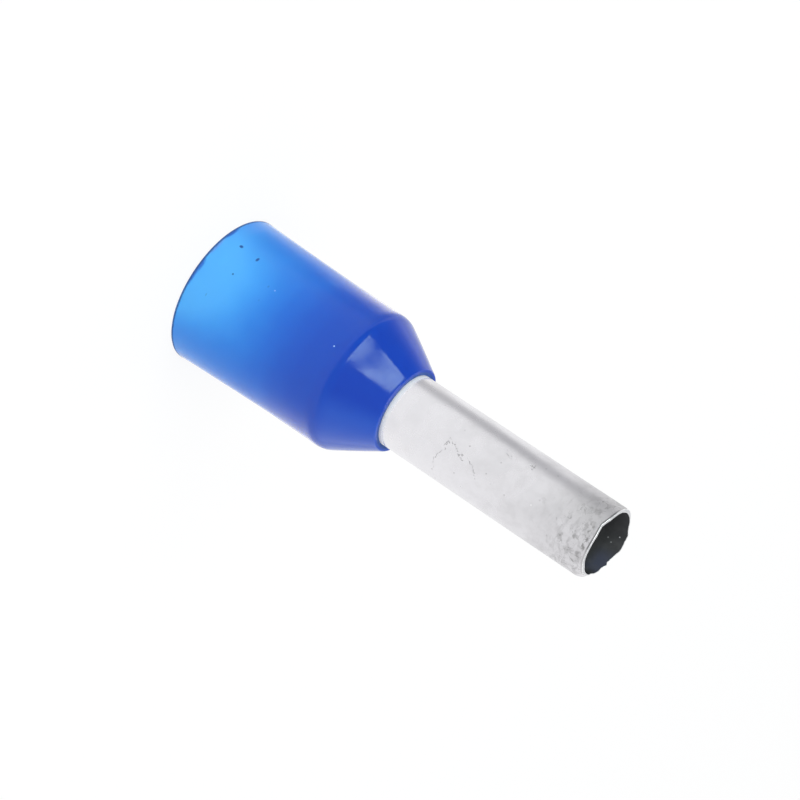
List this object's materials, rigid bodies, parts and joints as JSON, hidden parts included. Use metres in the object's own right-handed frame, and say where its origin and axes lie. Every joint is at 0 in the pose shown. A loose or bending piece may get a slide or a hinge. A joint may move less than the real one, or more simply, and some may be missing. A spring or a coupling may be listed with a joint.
{
  "type": "wire ferrule",
  "caption": "Insulated end sleeve for a stranded wire: thin tinned tube with a bell mouth, held in a translucent collar with a conical nose.",
  "frame": {"origin": "centre of the collar's open end, on the face that it stands on", "axes": "+Z along the axis, from the collar's open end to the pin's tip"},
  "size_m": [0.0052, 0.0052, 0.0157],
  "materials": {
    "collar_plastic": "translucent blue moulded plastic, smooth with a soft gloss",
    "tinned_copper": "satin tin plating over copper, with faint stains and pits"
  },
  "bodies": {
    "root": {"collar": "collar_plastic", "sleeve": "tinned_copper"}
  },
  "joints": []
}
